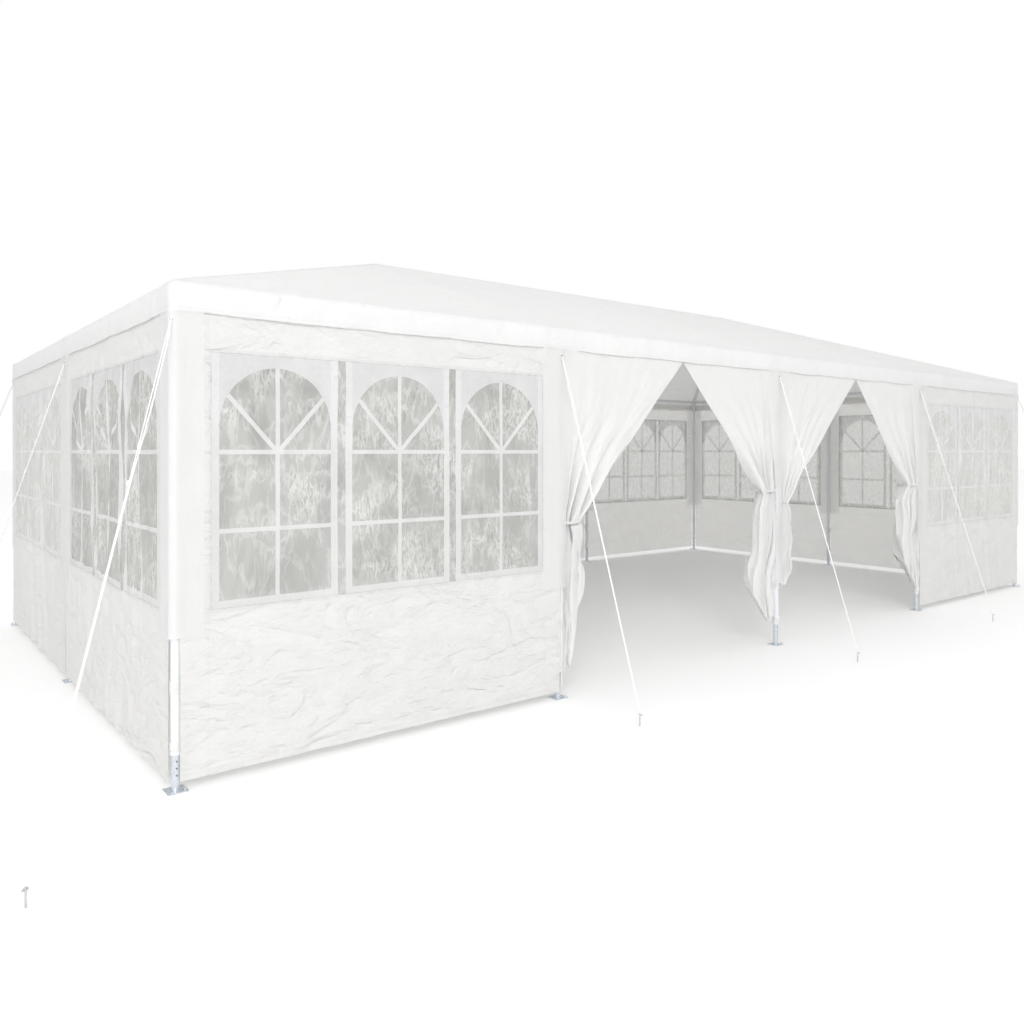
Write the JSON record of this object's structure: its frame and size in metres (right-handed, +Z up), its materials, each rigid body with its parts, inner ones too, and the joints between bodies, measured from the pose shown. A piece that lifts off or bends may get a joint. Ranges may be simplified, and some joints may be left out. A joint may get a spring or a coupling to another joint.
{
  "type": "marquee tent",
  "caption": "Rectangular party marquee with a white hipped sheet roof on a steel tube frame, arched-window walls, parted doorway curtains and guy ropes.",
  "frame": {"origin": "on the ground under the middle of the tent", "axes": "+X along the long side, to the right seen from the front; -Y the front with the two doorways; +Z up"},
  "size_m": [9.2092, 5.2092, 2.7],
  "materials": {
    "white_tube": "white powder coat, satin, with a bare zinc lower end",
    "roof_sheet": "coated woven polyethylene sheet, satin, slightly translucent",
    "wall_sheet": "coated woven polyethylene sheet, satin, slightly translucent",
    "curtain_sheet": "coated woven polyethylene sheet, satin",
    "clear_film": "clear soft plastic film with white printed window bars",
    "guy_rope": "twisted white cord, matt"
  },
  "bodies": {
    "root": {"canopy": "roof_sheet", "eave_rail_back": "white_tube", "eave_rail_front": "white_tube", "eave_rail_left": "white_tube", "eave_rail_right": "white_tube", "guy_rope_back_1": "guy_rope", "guy_rope_back_2": "guy_rope", "guy_rope_back_3": "guy_rope", "guy_rope_back_4": "guy_rope", "guy_rope_back_5": "guy_rope", "guy_rope_front_1": "guy_rope", "guy_rope_front_2": "guy_rope", "guy_rope_front_3": "guy_rope", "guy_rope_front_4": "guy_rope", "guy_rope_front_5": "guy_rope", "guy_rope_left_1": "guy_rope", "guy_rope_right_1": "guy_rope", "left_door_curtain_left": "curtain_sheet", "left_door_curtain_right": "curtain_sheet", "leg_back_1": "white_tube", "leg_back_2": "white_tube", "leg_back_3": "white_tube", "leg_back_4": "white_tube", "leg_back_5": "white_tube", "leg_front_1": "white_tube", "leg_front_2": "white_tube", "leg_front_3": "white_tube", "leg_front_4": "white_tube", "leg_front_5": "white_tube", "leg_left_1": "white_tube", "leg_right_1": "white_tube", "ridge_tube_left": "white_tube", "ridge_tube_right": "white_tube", "right_door_curtain_left": "curtain_sheet", "right_door_curtain_right": "curtain_sheet", "roof_rafters_left_end": "white_tube", "roof_rafters_middle": "white_tube", "roof_rafters_right_end": "white_tube", "wall_back_1": "wall_sheet", "wall_back_2": "wall_sheet", "wall_back_3": "wall_sheet", "wall_back_4": "wall_sheet", "wall_front_1": "wall_sheet", "wall_front_4": "wall_sheet", "wall_left_1": "wall_sheet", "wall_left_2": "wall_sheet", "wall_right_1": "wall_sheet", "wall_right_2": "wall_sheet", "window_film_back_1": "clear_film", "window_film_back_2": "clear_film", "window_film_back_3": "clear_film", "window_film_back_4": "clear_film", "window_film_front_1": "clear_film", "window_film_front_4": "clear_film", "window_film_left_1": "clear_film", "window_film_left_2": "clear_film", "window_film_right_1": "clear_film", "window_film_right_2": "clear_film"}
  },
  "joints": []
}
